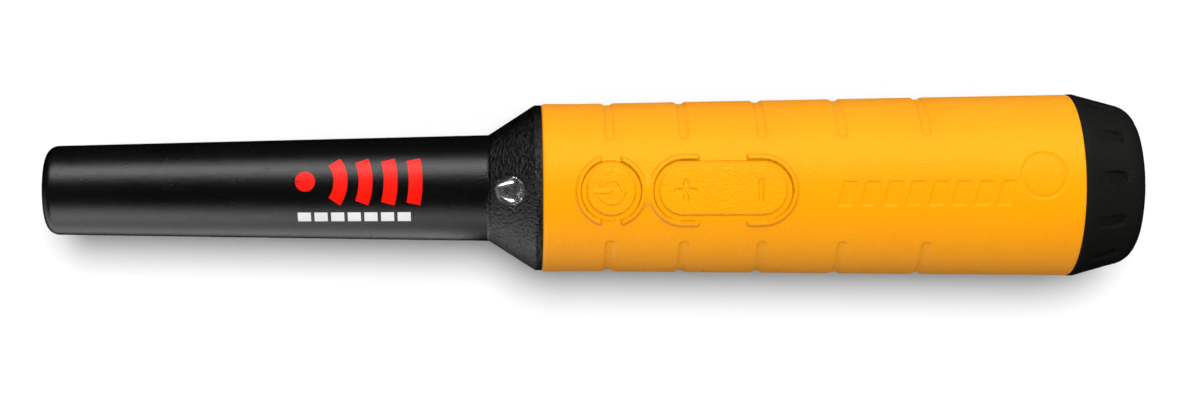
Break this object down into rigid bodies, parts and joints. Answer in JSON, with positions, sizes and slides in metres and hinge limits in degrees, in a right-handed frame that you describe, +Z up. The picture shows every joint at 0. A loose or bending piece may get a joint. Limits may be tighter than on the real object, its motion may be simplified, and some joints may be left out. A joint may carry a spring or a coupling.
{
  "type": "pinpointer probe",
  "caption": "Hand-held pinpointer metal locator: tapered sensing nose, rubber grip with power key and rocker key, shoulder lamp, screw-on end cap.",
  "frame": {"origin": "middle of the probe's length, on the ground plane under its axis, with the probe lying on its back", "axes": "+X along the probe from the sensing tip to the end cap, +Z up through the keys, the probe's axis at z = 21.4 mm"},
  "size_m": [0.2536, 0.0428, 0.0428],
  "materials": {
    "housing_plastic": "fine satin moulding grain, pebbled on the shoulder",
    "grip_rubber": "matte overmoulded rubber, fine grain",
    "key_rubber": "matte rubber, coarser grain than the grip",
    "web_rubber": "matte thin rubber",
    "cap_plastic": "fine matte moulding grain",
    "clear_plastic": "clear, polished",
    "seal_rubber": "smooth",
    "foam": "closed-cell foam",
    "ferrite": "fired, ground",
    "bobbin_plastic": "moulded",
    "enamelled_copper": "wound wire, lacquered",
    "wire_red": "insulation",
    "wire_black": "insulation",
    "wire_blue": "insulation",
    "chassis_plastic": "moulded",
    "circuit_board": "solder mask over glass fibre",
    "chip_plastic": "moulded",
    "capacitor_sleeve": "sleeved can",
    "connector_plastic": "moulded",
    "plated_steel": "zinc plated",
    "bright_metal": "bright plating",
    "weight_metal": "sintered heavy alloy",
    "paper_cone": "film",
    "battery_jacket": "satin printed jacket"
  },
  "bodies": {
    "probe": {"probe_housing": "housing_plastic", "grip_sleeve": "grip_rubber", "led_lens": "clear_plastic", "lens_seal": "seal_rubber", "led": "clear_plastic", "led_holder": "bright_metal", "led_leads": "plated_steel", "ferrite_core": "ferrite", "coil_bobbin": "bobbin_plastic", "transmit_winding": "enamelled_copper", "receive_windings": "enamelled_copper", "tip_pad": "foam", "coil_spacer": "foam", "coil_leads": "wire_red", "chassis": "chassis_plastic", "main_board": "circuit_board", "board_screws": "plated_steel", "chassis_screws": "plated_steel", "power_dome": "bright_metal", "sensitivity_domes": "bright_metal", "microcontroller": "chip_plastic", "capacitors": "capacitor_sleeve", "inductor": "ferrite", "board_connectors": "connector_plastic", "speaker_basket": "plated_steel", "speaker_cone": "paper_cone", "speaker_magnet": "bright_metal", "speaker_leads": "wire_red", "motor_can": "plated_steel", "motor_boot": "seal_rubber", "motor_leads": "wire_blue", "contact_board": "circuit_board", "positive_contact": "bright_metal", "negative_contact": "bright_metal", "battery_wire_red": "wire_red", "battery_wire_black": "wire_black", "battery_case": "battery_jacket", "battery_positive_terminal": "bright_metal", "battery_negative_terminal": "bright_metal", "power_key_web": "web_rubber", "sensitivity_key_web": "web_rubber", "neck_o_ring": "seal_rubber"},
    "power_button": {"power_key": "key_rubber"},
    "sensitivity_rocker": {"sensitivity_key": "key_rubber"},
    "motor_rotor": {"motor_shaft": "plated_steel", "eccentric_weight": "weight_metal"},
    "battery_retainer": {"pad_carrier": "chassis_plastic", "battery_pad": "foam"},
    "cap": {"end_cap": "cap_plastic", "pad_screw": "plated_steel"}
  },
  "joints": [
    {"name": "power_press", "type": "slide", "parent": "probe", "child": "power_button", "axis": [0, 0, -1], "range_m": [0, 0.0006], "stiffness_N_per_m": 2000, "deforming": ["power_dome", "power_key_web"]},
    {"name": "sensitivity_rock", "type": "hinge", "parent": "probe", "child": "sensitivity_rocker", "pos_m": [0.02845, 0, 0.03978], "axis": [0, 1, 0], "range_deg": [-2.8, 2.8], "stiffness_Nm_per_rad": 0.3, "deforming": ["sensitivity_domes", "sensitivity_key_web"]},
    {"name": "motor_spin", "type": "hinge", "parent": "probe", "child": "motor_rotor", "pos_m": [0.01325, 0, 0.0145], "axis": [1, 0, 0], "continuous": true},
    {"name": "cap_travel", "type": "slide", "parent": "probe", "child": "battery_retainer", "axis": [1, 0, 0], "range_m": [0, 0.00826]},
    {"name": "cap_turn", "type": "hinge", "parent": "battery_retainer", "child": "cap", "pos_m": [0.11925, 0, 0.0214], "axis": [1, 0, 0], "range_deg": [0, 990]}
  ],
  "couplings": [
    {"joint": "cap_travel", "follows": "cap_turn", "m_per_rad": 0.00047746}
  ]
}
